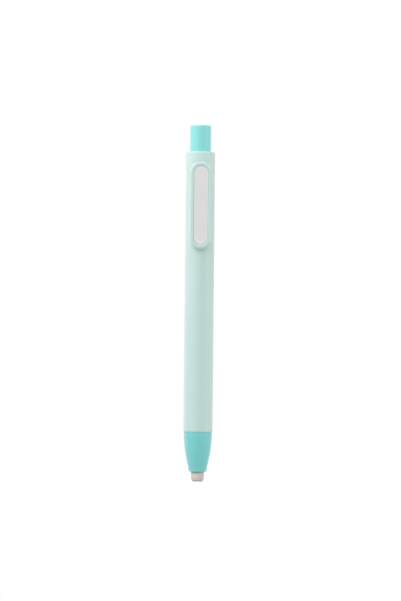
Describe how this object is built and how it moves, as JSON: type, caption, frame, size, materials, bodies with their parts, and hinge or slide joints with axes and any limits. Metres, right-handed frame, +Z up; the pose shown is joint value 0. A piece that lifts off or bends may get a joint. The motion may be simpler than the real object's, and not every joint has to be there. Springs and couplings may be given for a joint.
{
  "type": "push-button eraser stick",
  "caption": "Pen-shaped eraser holder: round barrel with a bare-plated pocket clip, push button, screw-on ogive nose and a sprung collet that feeds a round eraser core.",
  "frame": {"origin": "middle of the underside of the bounding box, on the table under the stick", "axes": "+Z up through the clip, +Y along the stick from the eraser's tip to the push button, +X to the right seen from the tip"},
  "size_m": [0.0115, 0.14, 0.0143],
  "materials": {
    "barrel_plastic": "pale mint moulded plastic, soft gloss",
    "teal_plastic": "turquoise moulded plastic, soft gloss",
    "label_film": "bare warm grey film plate, satin",
    "inner_plastic": "natural white moulded plastic",
    "chuck_brass": "turned brass",
    "ring_steel": "plated steel",
    "spring_steel": "bright spring wire",
    "eraser_vinyl": "white vinyl eraser, slightly smudged, matte",
    "brake_rubber": "soft grey rubber"
  },
  "bodies": {
    "barrel": {"barrel": "barrel_plastic", "tail_bush": "inner_plastic", "clip_foot": "barrel_plastic", "return_spring": "spring_steel"},
    "clip": {"clip": "barrel_plastic", "label_plate": "label_film"},
    "button": {"push_button": "teal_plastic", "push_tube": "inner_plastic", "tube_coupling": "inner_plastic", "chuck_body": "chuck_brass"},
    "jaw_1": {"chuck_jaw_1": "chuck_brass"},
    "jaw_2": {"chuck_jaw_2": "chuck_brass"},
    "jaw_3": {"chuck_jaw_3": "chuck_brass"},
    "clutch": {"clutch_ring": "ring_steel"},
    "eraser": {"eraser_core": "eraser_vinyl"},
    "nose_brake": {"eraser_brake": "brake_rubber"},
    "nose": {"nose_cone": "teal_plastic"}
  },
  "joints": [
    {"name": "button_press", "type": "slide", "parent": "barrel", "child": "button", "axis": [0, -1, 0], "range_m": [0, 0.004], "stiffness_N_per_m": 500, "springref_m": -0.003, "deforming": ["return_spring"]},
    {"name": "clutch_slide", "type": "slide", "parent": "barrel", "child": "clutch", "axis": [0, -1, 0], "range_m": [0, 0.00162]},
    {"name": "jaw_1_open", "type": "hinge", "parent": "button", "child": "jaw_1", "pos_m": [0, -0.0477, 0.00851], "axis": [-1, 0, 0], "range_deg": [0, 1.2]},
    {"name": "jaw_2_open", "type": "hinge", "parent": "button", "child": "jaw_2", "pos_m": [-0.00239, -0.0477, 0.00437], "axis": [0.5, 0, -0.866], "range_deg": [0, 1.2]},
    {"name": "jaw_3_open", "type": "hinge", "parent": "button", "child": "jaw_3", "pos_m": [0.00239, -0.0477, 0.00437], "axis": [0.5, 0, 0.866], "range_deg": [0, 1.2]},
    {"name": "eraser_feed", "type": "slide", "parent": "clutch", "child": "eraser", "axis": [0, -1, 0], "range_m": [-0.0038, 0.06]},
    {"name": "clip_flex", "type": "hinge", "parent": "barrel", "child": "clip", "pos_m": [0, 0.05095, 0.0123], "axis": [-1, 0, 0], "range_deg": [0, 4], "stiffness_Nm_per_rad": 1.3, "springref_deg": -0.57},
    {"name": "nose_advance", "type": "slide", "parent": "barrel", "child": "nose_brake", "axis": [0, -1, 0], "range_m": [0, 0.00642]},
    {"name": "nose_unscrew", "type": "hinge", "parent": "nose_brake", "child": "nose", "pos_m": [0, -0.0505, 0.00575], "axis": [0, -1, 0], "range_deg": [0, 1440]}
  ],
  "couplings": [
    {"joint": "clutch_slide", "follows": "button_press", "ratio": 0.4},
    {"joint": "jaw_1_open", "follows": "button_press", "rad_per_m": 5.2},
    {"joint": "jaw_2_open", "follows": "button_press", "rad_per_m": 5.2},
    {"joint": "jaw_3_open", "follows": "button_press", "rad_per_m": 5.2},
    {"joint": "nose_advance", "follows": "nose_unscrew", "m_per_rad": 0.00025465}
  ]
}
